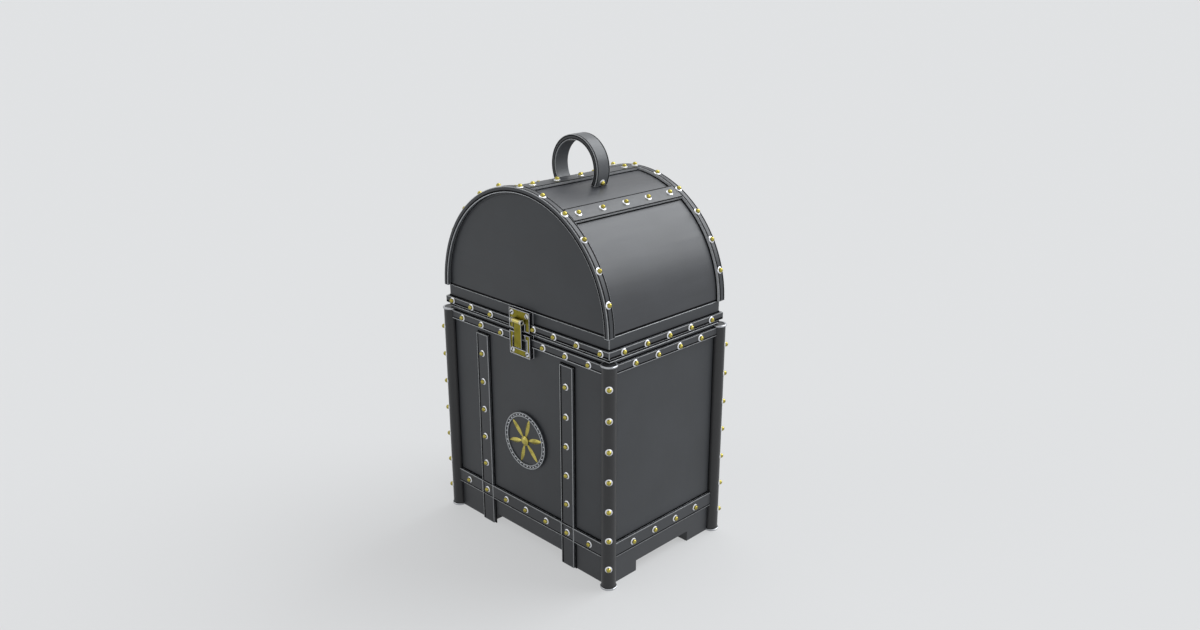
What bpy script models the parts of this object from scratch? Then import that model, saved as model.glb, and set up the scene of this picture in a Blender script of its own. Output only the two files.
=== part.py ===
"""A tall dome-lidded trunk.

Boarded body between round corner posts, riveted bands and straps, a barrel-vaulted lid on two back
hinges, a strap handle on the crown and a hasp latch in front. Units are metres. X runs along the
front, Y from front to back, Z up. The origin is on the floor, at the middle of the trunk's outline
seen from above.
"""
import math

import bmesh
import bpy

# Gap left between pieces that touch
SEAT = 0.0003

# Body: posts stand on the corners, and the boards' outer faces lie in the planes of the post axes
BODY_WIDTH = 0.400
BODY_DEPTH = 0.267
BODY_HEIGHT = 0.400
POST_RADIUS = 0.0123
POST_TOP_DROP = 0.002
COLLAR_RADIUS = 0.0140
COLLAR_HEIGHT = 0.0035
COLLAR_CHAMFER = 0.0009
POST_SEGMENTS = 16
PANEL_THICKNESS = 0.014
PLINTH_HEIGHT = 0.060
PLINTH_THICKNESS = 0.024
FLOOR_THICKNESS = 0.012
CUTOUT_HEIGHT = 0.020
FRONT_CUTOUT_WIDTH = 0.200
SIDE_CUTOUT_WIDTH = 0.1333
EDGE_CHAMFER = 0.0008

# Bands and upright straps on the body
BAND_THICKNESS = 0.005
LOWER_BAND_BASE = 0.0525
LOWER_BAND_HEIGHT = 0.026
TOP_BAND_DROP = 0.006
TOP_BAND_HEIGHT = 0.015
STRAP_WIDTH = 0.030
STRAP_OFFSET = 0.1067
STRAP_TOP_DROP = 0.0305
STRAP_FLOOR_GAP = 0.001

# Rivets
RIVET_RADIUS = 0.006
RIVET_HEIGHT = 0.0047
RIVET_SINK = 0.0015
RIVET_SEGMENTS = 6
RIVET_PITCH = 0.0533
POST_RIVET_BASE = 0.040
STRAP_RIVET_BASE = 0.120
RIVET_END_MARGIN = 0.012

# Lid
LID_WALL_HEIGHT = 0.039
LID_WALL_THICKNESS = 0.014
LID_BAND_LIFT = 0.0057
LID_BAND_HEIGHT = 0.0127
VAULT_THICKNESS = 0.008
GABLE_THICKNESS = 0.014
HOOP_FACE_WIDTH = 0.0115
HOOP_FACE_THICKNESS = 0.007
HOOP_RIM_REACH = 0.0075
LID_STRAP_ANGLE = math.radians(31.0)
ARC_STEP = math.radians(4.5)

# Handle
HANDLE_RADIUS = 0.055
HANDLE_THICKNESS = 0.009
HANDLE_WIDTH = 0.030
HANDLE_RISE = 0.0207
HANDLE_RIVET_LIFT = 0.0075
HANDLE_STEP = math.radians(10.0)

# Latch
PLATE_WIDTH = 0.048
PLATE_THICKNESS = 0.0092
LOWER_PLATE_HEIGHT = 0.038
UPPER_PLATE_HEIGHT = 0.034
PLATE_CHAMFER = 0.0006
KEEPER_WIDTH = 0.035
KEEPER_HEIGHT = 0.0185
KEEPER_LIFT = 0.0095
KEEPER_DEPTH = 0.0037
KEEPER_PROUD = 0.001
FLAP_WIDTH = 0.0178
FLAP_THICKNESS = 0.0028
FLAP_DROP = 0.0477
HASP_BARREL_RADIUS = 0.005
HASP_BARREL_WIDTH = 0.0294
HASP_BARREL_LIFT = 0.0171
HASP_PIN_RADIUS = 0.0018
SCREW_RADIUS = 0.0032
SCREW_HEIGHT = 0.0016
SCREW_SINK = 0.001
SCREW_INSET = 0.0056

# Hinges
HINGE_OFFSET = 0.1067
HINGE_WIDTH = 0.040
LEAF_THICKNESS = 0.0025
LEAF_LENGTH = 0.016
KNUCKLE_RADIUS = 0.0045
KNUCKLE_STANDOFF = 0.0022
KNUCKLE_GAP = 0.0005
HINGE_PIN_RADIUS = 0.0020
PIN_HEAD_LENGTH = 0.0015
PIN_HEAD_RADIUS = 0.0030

# Medallion
MEDALLION_RADIUS = 0.0533
MEDALLION_HEIGHT = 0.200
MEDALLION_THICKNESS = 0.0025
RING_WIDTH = 0.0075
RING_THICKNESS = 0.0030
PETAL_COUNT = 6
PETAL_WIDTH = 0.0130
HUB_RADIUS = 0.0090
ROUND_SEGMENTS = 36

# Places that follow from the sizes
HALF_WIDTH = BODY_WIDTH / 2
HALF_DEPTH = BODY_DEPTH / 2
POST_TOP = BODY_HEIGHT - POST_TOP_DROP
BAND_FACE = SEAT + BAND_THICKNESS
TOP_BAND_TOP = BODY_HEIGHT - TOP_BAND_DROP
TOP_BAND_BASE = TOP_BAND_TOP - TOP_BAND_HEIGHT
LOWER_BAND_TOP = LOWER_BAND_BASE + LOWER_BAND_HEIGHT
STRAP_TOP = BODY_HEIGHT - STRAP_TOP_DROP
LID_BASE = BODY_HEIGHT + SEAT
LID_BAND_BASE = LID_BASE + LID_BAND_LIFT
LID_BAND_TOP = LID_BAND_BASE + LID_BAND_HEIGHT
SPRING_HEIGHT = LID_BASE + LID_WALL_HEIGHT
VAULT_RADIUS = HALF_WIDTH
HOOP_RADIUS = VAULT_RADIUS + BAND_FACE
PLATE_FACE = SEAT + PLATE_THICKNESS
LOWER_PLATE_TOP = BODY_HEIGHT - SEAT
LOWER_PLATE_BASE = LOWER_PLATE_TOP - LOWER_PLATE_HEIGHT
UPPER_PLATE_TOP = SPRING_HEIGHT - SEAT
UPPER_PLATE_BASE = UPPER_PLATE_TOP - UPPER_PLATE_HEIGHT
HASP_AXIS_OUT = PLATE_FACE + SEAT + HASP_BARREL_RADIUS
HASP_AXIS_HEIGHT = UPPER_PLATE_BASE + HASP_BARREL_LIFT
HINGE_AXIS_OUT = BAND_FACE + KNUCKLE_STANDOFF
HINGE_AXIS_HEIGHT = BODY_HEIGHT + SEAT / 2
FRONT_REACH = HALF_DEPTH + HASP_AXIS_OUT + HASP_BARREL_RADIUS
BACK_REACH = HALF_DEPTH + max(COLLAR_RADIUS, HINGE_AXIS_OUT + KNUCKLE_RADIUS)
CENTRE_SHIFT = (FRONT_REACH - BACK_REACH) / 2

# Each side of the trunk: turn about Z, length between post axes, place of its middle
SIDES = {
    "front": (0.0, BODY_WIDTH, (0.0, -HALF_DEPTH, 0.0)),
    "right": (math.pi / 2, BODY_DEPTH, (HALF_WIDTH, 0.0, 0.0)),
    "back": (math.pi, BODY_WIDTH, (0.0, HALF_DEPTH, 0.0)),
    "left": (-math.pi / 2, BODY_DEPTH, (-HALF_WIDTH, 0.0, 0.0)),
}
HANDS = {"left": -1, "right": 1}


def clear_scene():
    for item in list(bpy.data.objects):
        bpy.data.objects.remove(item)


def finish(name, colour, roughness, metallic):
    material = bpy.data.materials.new(name)
    material.use_nodes = True
    shader = material.node_tree.nodes["Principled BSDF"]
    shader.inputs["Base Color"].default_value = (*colour, 1.0)
    shader.inputs["Roughness"].default_value = roughness
    shader.inputs["Metallic"].default_value = metallic
    return material


def empty(name, parent, location):
    holder = bpy.data.objects.new(name, None)
    bpy.context.collection.objects.link(holder)
    holder.parent = parent
    holder.location = location
    return holder


def from_parent(parent, location):
    """A place in the trunk's frame, told from the parent's own origin."""
    base = (0.0, 0.0, 0.0)
    while parent is not TRUNK:
        base = tuple(a + b for a, b in zip(base, parent.location))
        parent = parent.parent
    return tuple(a - b for a, b in zip(location, base))


def piece(name, mesh, material, parent, location=(0.0, 0.0, 0.0), turn=(0.0, 0.0, 0.0)):
    """Turn a bmesh into a named object that hangs on its parent."""
    bmesh.ops.recalc_face_normals(mesh, faces=mesh.faces)
    data = bpy.data.meshes.new(name)
    mesh.to_mesh(data)
    mesh.free()
    data.materials.append(material)
    item = bpy.data.objects.new(name, data)
    bpy.context.collection.objects.link(item)
    item.parent = parent
    item.location = from_parent(parent, location)
    item.rotation_euler = turn
    return item


def side_piece(name, side, mesh, material, parent):
    """Place a piece made along X, facing -Y, on one side of the trunk."""
    turn, _, middle = SIDES[side]
    return piece(name, mesh, material, parent, middle, (0.0, 0.0, turn))


def smooth(item, angle=math.radians(30.0)):
    item.data.shade_smooth()
    item.data.set_sharp_from_angle(angle=angle)


def chamfer(item, width=EDGE_CHAMFER):
    bevel = item.modifiers.new("chamfer", "BEVEL")
    bevel.width = width
    bevel.segments = 1
    bevel.limit_method = "ANGLE"
    bevel.angle_limit = math.radians(40.0)


def combine(item, mesh, operation):
    """Join or cut an object with a mesh given in the object's own frame."""
    tool = piece(f"{item.name}_{operation.lower()}_{len(item.modifiers)}", mesh, item.data.materials[0], item.parent)
    tool.parent = item
    tool.location = (0.0, 0.0, 0.0)
    tool.hide_render = True
    tool.display_type = "WIRE"
    boolean = item.modifiers.new(operation.lower(), "BOOLEAN")
    boolean.operation = operation
    boolean.object = tool
    boolean.solver = "EXACT"


def on_plan(across, out, up):
    return (across, -out, up)


def on_section(out, up, across):
    return (across, -out, up)


def on_front(across, up, back):
    return (across, back, up)


def prism(mesh, outline, low, high, place):
    """Add the outline, pulled from low to high, to a mesh; place turns its three values into X, Y, Z."""
    near = [mesh.verts.new(place(a, b, low)) for a, b in outline]
    far = [mesh.verts.new(place(a, b, high)) for a, b in outline]
    mesh.faces.new(near)
    mesh.faces.new(far)
    for i in range(len(outline)):
        j = (i + 1) % len(outline)
        mesh.faces.new((near[i], near[j], far[j], far[i]))
    return mesh


def rectangle(low_a, high_a, low_b, high_b):
    return [(low_a, low_b), (high_a, low_b), (high_a, high_b), (low_a, high_b)]


def arc(centre, radius, start, stop, step):
    count = max(2, math.ceil(abs(stop - start) / step - 1e-6))
    angles = [start + (stop - start) * i / count for i in range(count + 1)]
    return [(centre[0] + radius * math.cos(a), centre[1] + radius * math.sin(a)) for a in angles]


def circle(centre, radius, segments=16):
    return arc(centre, radius, 0.0, 2 * math.pi, 2 * math.pi / segments)[:-1]


def turned(mesh, profile, segments, place):
    """Add a solid turned about its own axis; the profile holds radius and height from end to end."""
    rings = []
    for radius, height in profile:
        if radius == 0.0:
            rings.append([mesh.verts.new(place(0.0, 0.0, height))])
            continue
        angles = [2 * math.pi * (i + 0.5) / segments for i in range(segments)]
        rings.append([mesh.verts.new(place(radius * math.cos(a), radius * math.sin(a), height)) for a in angles])
    for low, high in zip(rings, rings[1:]):
        for i in range(segments):
            j = (i + 1) % segments
            if len(low) == 1:
                mesh.faces.new((low[0], high[i], high[j]))
            elif len(high) == 1:
                mesh.faces.new((low[i], low[j], high[0]))
            else:
                mesh.faces.new((low[i], low[j], high[j], high[i]))
    return mesh


def vaulted(mesh, profile, start, stop):
    """Add a profile of radius and Y, swept round the vault's axis; angles are from +X upwards."""
    rings = []
    for across, up in arc((0.0, 0.0), 1.0, start, stop, ARC_STEP):
        rings.append([mesh.verts.new((radius * across, y, radius * up)) for radius, y in profile])
    mesh.faces.new(rings[0])
    mesh.faces.new(rings[-1])
    for low, high in zip(rings, rings[1:]):
        for i in range(len(profile)):
            j = (i + 1) % len(profile)
            mesh.faces.new((low[i], low[j], high[j], high[i]))
    return mesh


def add_domes(item, places, radius=RIVET_RADIUS, height=RIVET_HEIGHT, sink=RIVET_SINK):
    """Join domed heads to an object; each place is a point and three axes, the last one outwards."""
    if not places:
        return
    profile = [(0.0, -sink), (radius, -sink), (radius, 0.0), (radius * 0.74, height * 0.70), (0.0, height)]
    mesh = bmesh.new()
    for point, side, rise, out in places:
        def place(a, b, c):
            return tuple(point[i] + side[i] * a + rise[i] * b + out[i] * c for i in range(3))
        turned(mesh, profile, RIVET_SEGMENTS, place)
    combine(item, mesh, "UNION")


def face_dome(across, out, up):
    """A dome's place on a face that looks along -Y."""
    return ((across, -out, up), (1.0, 0.0, 0.0), (0.0, 0.0, 1.0), (0.0, -1.0, 0.0))


def vault_dome(radius, angle, y):
    """A dome's place on the vault, looking away from the vault's axis."""
    out = (math.cos(angle), 0.0, math.sin(angle))
    return (tuple(radius * v for v in out[:1]) + (y, radius * out[2]), (-out[2], 0.0, out[0]), (0.0, 1.0, 0.0), out)


def row(limit, staggered=False):
    """Places at the rivet pitch, both ways from the middle, as far as the limit."""
    start = RIVET_PITCH / 2 if staggered else 0.0
    count = math.floor((limit - start) / RIVET_PITCH + 1e-9) + 1
    half = [start + RIVET_PITCH * i for i in range(max(count, 0))]
    return sorted({-u for u in half} | set(half))


def column(base, limit):
    return [base + RIVET_PITCH * i for i in range(math.floor((limit - base) / RIVET_PITCH + 1e-9) + 1)]


def clear_of(places, centre, width):
    """The places whose rivet stays off a piece of this width at plus and minus the centre."""
    reach = width / 2 + RIVET_RADIUS
    return [u for u in places if abs(abs(u) - centre) >= reach]


def post_profile(grow, ends):
    """Radius and height of a post with its collars, grown all round, for a post or for what it cuts away."""
    shaft = POST_RADIUS + grow
    collar = COLLAR_RADIUS + grow
    foot = -ends
    head = POST_TOP + ends
    low = COLLAR_HEIGHT + grow
    high = POST_TOP - COLLAR_HEIGHT - grow
    edge = collar - COLLAR_CHAMFER
    return [
        (0.0, foot), (edge, foot), (collar, foot + COLLAR_CHAMFER), (collar, low - COLLAR_CHAMFER), (shaft, low),
        (shaft, high), (collar, high + COLLAR_CHAMFER), (collar, head - COLLAR_CHAMFER), (edge, head), (0.0, head),
    ]


def add_posts():
    for depth_name, depth in (("front", -1), ("back", 1)):
        for hand_name, hand in HANDS.items():
            mesh = turned(bmesh.new(), post_profile(0.0, 0.0), POST_SEGMENTS, lambda a, b, c: (a, b, c))
            outward = math.atan2(depth, hand)
            item = piece(f"post_{depth_name}_{hand_name}", mesh, IRON, TRUNK,
                         (hand * HALF_WIDTH, depth * HALF_DEPTH, 0.0), (0.0, 0.0, outward + math.pi / 2))
            drop = POST_RADIUS - math.sqrt(POST_RADIUS ** 2 - RIVET_RADIUS ** 2)
            heights = column(POST_RIVET_BASE, POST_TOP - 2 * RIVET_END_MARGIN)
            add_domes(item, [face_dome(0.0, POST_RADIUS, z) for z in heights], sink=RIVET_SINK + drop)
            smooth(item)


def cut_for_posts(item, length):
    """Cove both ends of a board to the posts that it runs between."""
    for hand in (-1, 1):
        mesh = turned(bmesh.new(), post_profile(SEAT, SEAT), POST_SEGMENTS,
                      lambda a, b, c: (a + hand * length / 2, b, c))
        combine(item, mesh, "DIFFERENCE")


def mitred(length, inner, outer):
    """Plan of a board that meets its neighbours at 45 degrees; out is counted from the post axes."""
    half = length / 2 - SEAT
    return [(-half - outer, outer), (half + outer, outer), (half + inner, inner), (-half - inner, inner)]


def add_body_boards():
    for side, (_, length, _) in SIDES.items():
        mesh = prism(bmesh.new(), mitred(length, -PLINTH_THICKNESS, 0.0), 0.0, PLINTH_HEIGHT, on_plan)
        plinth = side_piece(f"plinth_{side}", side, mesh, WOOD, TRUNK)
        chamfer(plinth)
        width = FRONT_CUTOUT_WIDTH if length == BODY_WIDTH else SIDE_CUTOUT_WIDTH
        arch = rectangle(-width / 2, width / 2, -CUTOUT_HEIGHT, CUTOUT_HEIGHT)
        combine(plinth, prism(bmesh.new(), arch, -PLINTH_THICKNESS, 2 * PLINTH_THICKNESS, on_front), "DIFFERENCE")
        cut_for_posts(plinth, length)
        mesh = prism(bmesh.new(), mitred(length, -PANEL_THICKNESS, 0.0), PLINTH_HEIGHT + SEAT, BODY_HEIGHT, on_plan)
        panel = side_piece(f"panel_{side}", side, mesh, WOOD, TRUNK)
        chamfer(panel)
        cut_for_posts(panel, length)
    half_x = HALF_WIDTH - PANEL_THICKNESS - SEAT
    half_y = HALF_DEPTH - PANEL_THICKNESS - SEAT
    base = PLINTH_HEIGHT + SEAT
    outline = rectangle(-half_x, half_x, -half_y, half_y)
    chamfer(piece("floor_board", prism(bmesh.new(), outline, base, base + FLOOR_THICKNESS, on_plan), WOOD, TRUNK))


def post_to_post(length, inner, outer):
    """Plan of a band whose ends follow the posts."""
    reach = POST_RADIUS + SEAT
    outs = [outer, (inner + outer) / 2, inner]
    right = [(length / 2 - math.sqrt(reach ** 2 - out ** 2), out) for out in outs]
    return right + [(-across, out) for across, out in reversed(right)]


def lapped(length):
    """Plan of a lower band that is halved where the straps cross it."""
    lap = SEAT + BAND_THICKNESS / 2 - SEAT / 2
    notch = STRAP_WIDTH / 2 + SEAT
    edge = post_to_post(length, SEAT, BAND_FACE)
    right, left = edge[:3], edge[3:]
    cuts = []
    for hand in (-1, 1):
        centre = hand * STRAP_OFFSET
        cuts += [(centre - notch, BAND_FACE), (centre - notch, lap)]
        cuts += [(centre + notch, lap), (centre + notch, BAND_FACE)]
    return cuts + right + left


def add_body_bands():
    for side, (_, length, _) in SIDES.items():
        limit = length / 2 - POST_RADIUS - RIVET_END_MARGIN
        long_side = length == BODY_WIDTH
        outline = post_to_post(length, SEAT, BAND_FACE)
        top = side_piece(f"top_band_{side}", side, prism(bmesh.new(), outline, TOP_BAND_BASE, TOP_BAND_TOP, on_plan),
                         IRON, TRUNK)
        chamfer(top)
        places = row(limit, staggered=not long_side)
        if side == "front":
            places = clear_of(places, 0.0, PLATE_WIDTH)
        if side == "back":
            places = clear_of(places, HINGE_OFFSET, HINGE_WIDTH)
        middle = (TOP_BAND_BASE + TOP_BAND_TOP) / 2
        add_domes(top, [face_dome(u, BAND_FACE, middle) for u in places])

        outline = lapped(length) if long_side else outline
        lower = side_piece(f"lower_band_{side}", side,
                           prism(bmesh.new(), outline, LOWER_BAND_BASE, LOWER_BAND_TOP, on_plan), IRON, TRUNK)
        chamfer(lower)
        places = row(limit, staggered=not long_side)
        if long_side:
            places = clear_of(places, STRAP_OFFSET, STRAP_WIDTH)
        middle = (LOWER_BAND_BASE + LOWER_BAND_TOP) / 2
        add_domes(lower, [face_dome(u, BAND_FACE, middle) for u in places])


def add_upright_straps():
    lap = SEAT + BAND_THICKNESS / 2 + SEAT / 2
    outline = [
        (SEAT, STRAP_FLOOR_GAP), (BAND_FACE, STRAP_FLOOR_GAP), (BAND_FACE, STRAP_TOP), (SEAT, STRAP_TOP),
        (SEAT, LOWER_BAND_TOP + SEAT), (lap, LOWER_BAND_TOP + SEAT),
        (lap, LOWER_BAND_BASE - SEAT), (SEAT, LOWER_BAND_BASE - SEAT),
    ]
    heights = column(STRAP_RIVET_BASE, STRAP_TOP - 2 * RIVET_END_MARGIN)
    heights.append((LOWER_BAND_BASE + LOWER_BAND_TOP) / 2)
    for side in ("front", "back"):
        for hand_name, hand in HANDS.items():
            seen = hand if side == "front" else -hand
            centre = seen * STRAP_OFFSET
            mesh = prism(bmesh.new(), outline, centre - STRAP_WIDTH / 2, centre + STRAP_WIDTH / 2, on_section)
            strap = side_piece(f"strap_{side}_{hand_name}", side, mesh, IRON, TRUNK)
            chamfer(strap)
            add_domes(strap, [face_dome(centre, BAND_FACE, z) for z in heights])


def add_lid_walls():
    for side, (_, length, _) in SIDES.items():
        mesh = prism(bmesh.new(), mitred(length, -LID_WALL_THICKNESS, 0.0), LID_BASE, SPRING_HEIGHT, on_plan)
        chamfer(side_piece(f"lid_wall_{side}", side, mesh, WOOD, LID))
        mesh = prism(bmesh.new(), mitred(length, SEAT, BAND_FACE), LID_BAND_BASE, LID_BAND_TOP, on_plan)
        band = side_piece(f"lid_band_{side}", side, mesh, IRON, LID)
        chamfer(band)
        long_side = length == BODY_WIDTH
        places = row(length / 2 - RIVET_END_MARGIN, staggered=long_side)
        if side == "front":
            first = PLATE_WIDTH / 2 + RIVET_RADIUS + SEAT
            places = [math.copysign(max(abs(u), first), u) for u in places]
        if side == "back":
            places = clear_of(places, HINGE_OFFSET, HINGE_WIDTH)
        middle = (LID_BAND_BASE + LID_BAND_TOP) / 2
        add_domes(band, [face_dome(u, BAND_FACE, middle) for u in places])


def add_vault():
    spring = (0.0, 0.0, SPRING_HEIGHT)
    strap_angles = [math.pi / 2 - LID_STRAP_ANGLE, math.pi / 2, math.pi / 2 + LID_STRAP_ANGLE]
    foot = SEAT / VAULT_RADIUS
    seams = [0.0] + strap_angles + [math.pi]
    names = ["right", "upper_right", "upper_left", "left"]
    inside = VAULT_RADIUS - VAULT_THICKNESS
    profile = rectangle(inside, VAULT_RADIUS, -HALF_DEPTH, HALF_DEPTH)
    for name, start, stop in zip(names, seams, seams[1:]):
        mesh = vaulted(bmesh.new(), profile, start + foot, stop - foot)
        smooth(piece(f"vault_board_{name}", mesh, WOOD, LID, spring))

    disc_foot = math.asin(SEAT / (inside - SEAT))
    disc = arc((0.0, 0.0), inside - SEAT, disc_foot, math.pi - disc_foot, ARC_STEP)
    for name, start in (("front", -HALF_DEPTH), ("back", HALF_DEPTH - GABLE_THICKNESS)):
        gable = prism(bmesh.new(), disc, start, start + GABLE_THICKNESS, on_front)
        piece(f"gable_{name}", gable, WOOD, LID, spring)

    face_inside = HOOP_RADIUS - HOOP_FACE_WIDTH
    rim_inside = VAULT_RADIUS + SEAT
    for name, toward in (("front", -1), ("back", 1)):
        plane = toward * (HALF_DEPTH + SEAT)
        front = plane + toward * HOOP_FACE_THICKNESS
        rim = toward * (HALF_DEPTH - HOOP_RIM_REACH)
        profile = [(face_inside, plane), (face_inside, front), (HOOP_RADIUS, front), (HOOP_RADIUS, rim),
                   (rim_inside, rim), (rim_inside, plane)]
        hoop = piece(f"hoop_{name}", vaulted(bmesh.new(), profile, 0.0, math.pi), IRON, LID, spring)
        count = round(math.pi * HOOP_RADIUS / RIVET_PITCH)
        add_domes(hoop, [vault_dome(HOOP_RADIUS, math.pi * i / count, (front + rim) / 2) for i in range(1, count)])
        smooth(hoop)

    half = math.asin(STRAP_WIDTH / 2 / HOOP_RADIUS)
    end = HALF_DEPTH - HOOP_RIM_REACH - SEAT
    profile = rectangle(rim_inside, HOOP_RADIUS, -end, end)
    for name, angle in zip(("right", "crown", "left"), strap_angles):
        mesh = vaulted(bmesh.new(), profile, angle - half, angle + half)
        strap = piece(f"lid_strap_{name}", mesh, IRON, LID, spring)
        add_domes(strap, [vault_dome(HOOP_RADIUS, angle, y) for y in row(end - RIVET_END_MARGIN)])
        smooth(strap)


def foot_angle(radius):
    """How far below level, seen from the handle's centre, a circle of this radius meets the vault."""
    height = VAULT_RADIUS + HANDLE_RISE
    seat = VAULT_RADIUS + SEAT
    return math.asin((height ** 2 + radius ** 2 - seat ** 2) / (2 * height * radius))


def add_handle():
    centre = (0.0, VAULT_RADIUS + HANDLE_RISE)
    inside = HANDLE_RADIUS - HANDLE_THICKNESS
    outer, inner = foot_angle(HANDLE_RADIUS), foot_angle(inside)
    outline = arc(centre, HANDLE_RADIUS, -outer, math.pi + outer, HANDLE_STEP)
    outline += arc(centre, inside, math.pi + inner, -inner, HANDLE_STEP)
    mesh = prism(bmesh.new(), outline, -HANDLE_WIDTH / 2, HANDLE_WIDTH / 2, on_front)
    handle = piece("handle", mesh, IRON, LID, (0.0, 0.0, SPRING_HEIGHT))
    below = outer - HANDLE_RIVET_LIFT / HANDLE_RADIUS
    places = []
    for angle in (-below, math.pi + below):
        point, side, rise, out = vault_dome(HANDLE_RADIUS, angle, 0.0)
        places.append(((point[0], point[1], point[2] + centre[1]), side, rise, out))
    add_domes(handle, places)
    smooth(handle)


def knuckle_outline(axis, radius, tongue, reach):
    """Section of a barrel and the leaf that runs off it, up or down, between two distances from the axis."""
    near, far = tongue
    way = math.copysign(1.0, reach)
    start = math.acos(far / radius)
    stop = math.acos(near / radius)
    bend = arc((0.0, 0.0), radius, stop, 2 * math.pi + start, math.radians(22.5))
    leaf = [(far, abs(reach)), (near, abs(reach))]
    return [(axis[0] + out, axis[1] + way * up) for out, up in bend + leaf]


def add_latch():
    plate_half = PLATE_WIDTH / 2
    screw = plate_half - SCREW_INSET

    notch = BAND_FACE + SEAT
    outline = [
        (SEAT, LOWER_PLATE_BASE), (PLATE_FACE, LOWER_PLATE_BASE),
        (PLATE_FACE, LOWER_PLATE_TOP), (SEAT, LOWER_PLATE_TOP),
        (SEAT, TOP_BAND_TOP + SEAT), (notch, TOP_BAND_TOP + SEAT),
        (notch, TOP_BAND_BASE - SEAT), (SEAT, TOP_BAND_BASE - SEAT),
    ]
    lower = side_piece("latch_plate_lower", "front", prism(bmesh.new(), outline, -plate_half, plate_half, on_section),
                       BRASS, TRUNK)
    chamfer(lower, PLATE_CHAMFER)
    keeper_base = LOWER_PLATE_BASE + KEEPER_LIFT
    keeper_top = keeper_base + KEEPER_HEIGHT
    keeper_back = PLATE_FACE + KEEPER_PROUD - KEEPER_DEPTH
    pocket = rectangle(keeper_back - SEAT, PLATE_FACE + KEEPER_DEPTH, keeper_base - SEAT, keeper_top + SEAT)
    pocket_half = KEEPER_WIDTH / 2 + SEAT
    combine(lower, prism(bmesh.new(), pocket, -pocket_half, pocket_half, on_section), "DIFFERENCE")
    heights = (LOWER_PLATE_BASE + SCREW_INSET, )
    add_domes(lower, [face_dome(u, PLATE_FACE, z) for u in (-screw, screw) for z in heights],
              SCREW_RADIUS, SCREW_HEIGHT, SCREW_SINK)
    outline = rectangle(keeper_back, PLATE_FACE + KEEPER_PROUD, keeper_base, keeper_top)
    mesh = prism(bmesh.new(), outline, -KEEPER_WIDTH / 2, KEEPER_WIDTH / 2, on_section)
    chamfer(side_piece("latch_keeper", "front", mesh, IRON, TRUNK), PLATE_CHAMFER)

    outline = [
        (notch, UPPER_PLATE_BASE), (PLATE_FACE, UPPER_PLATE_BASE),
        (PLATE_FACE, UPPER_PLATE_TOP), (SEAT, UPPER_PLATE_TOP),
        (SEAT, LID_BAND_TOP + SEAT), (notch, LID_BAND_TOP + SEAT),
    ]
    upper = side_piece("latch_plate_upper", "front", prism(bmesh.new(), outline, -plate_half, plate_half, on_section),
                       BRASS, LID)
    chamfer(upper, PLATE_CHAMFER)
    axis = (HASP_AXIS_OUT, HASP_AXIS_HEIGHT)
    bend = arc(axis, HASP_BARREL_RADIUS, -math.pi / 2, math.pi / 2, math.radians(22.5))
    root = PLATE_FACE - SCREW_SINK
    ear = [(root, axis[1] - HASP_BARREL_RADIUS)] + bend + [(root, axis[1] + HASP_BARREL_RADIUS)]
    ears = bmesh.new()
    flap_clear = FLAP_WIDTH / 2 + SEAT
    for low, high in ((-HASP_BARREL_WIDTH / 2, -flap_clear), (flap_clear, HASP_BARREL_WIDTH / 2)):
        prism(ears, ear, low, high, on_section)
    combine(upper, ears, "UNION")
    bore = prism(bmesh.new(), circle(axis, HASP_PIN_RADIUS + SEAT), -plate_half, plate_half, on_section)
    combine(upper, bore, "DIFFERENCE")
    heights = (UPPER_PLATE_TOP - SCREW_INSET, )
    add_domes(upper, [face_dome(u, PLATE_FACE, z) for u in (-screw, screw) for z in heights],
              SCREW_RADIUS, SCREW_HEIGHT, SCREW_SINK)

    pin_half = HASP_BARREL_WIDTH / 2 + SEAT
    pin = side_piece("hasp_pin", "front", bmesh.new(), BRASS, LID)
    make_pin(pin, axis, HASP_PIN_RADIUS, pin_half, HASP_BARREL_RADIUS * 0.7, PIN_HEAD_LENGTH)

    back = PLATE_FACE + KEEPER_PROUD + SEAT - HASP_AXIS_OUT
    outline = knuckle_outline(axis, HASP_BARREL_RADIUS, (back, back + FLAP_THICKNESS), -FLAP_DROP)
    mesh = prism(bmesh.new(), outline, -FLAP_WIDTH / 2, FLAP_WIDTH / 2, on_section)
    flap = side_piece("hasp_flap", "front", mesh, BRASS, HASP)
    chamfer(flap, PLATE_CHAMFER)
    combine(flap, prism(bmesh.new(), circle(axis, HASP_PIN_RADIUS + SEAT), -plate_half, plate_half, on_section),
            "DIFFERENCE")


def make_pin(item, axis, radius, half, head_radius, head_length):
    """Fill an object with a pin along X that has a round head at each end."""
    profile = [
        (0.0, -half - head_length), (head_radius, -half - head_length), (head_radius, -half), (radius, -half),
        (radius, half), (head_radius, half), (head_radius, half + head_length), (0.0, half + head_length),
    ]
    mesh = turned(bmesh.new(), profile, 12, lambda a, b, c: (c, -axis[0] - a, axis[1] + b))
    bmesh.ops.recalc_face_normals(mesh, faces=mesh.faces)
    mesh.to_mesh(item.data)
    mesh.free()
    smooth(item)


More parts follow.
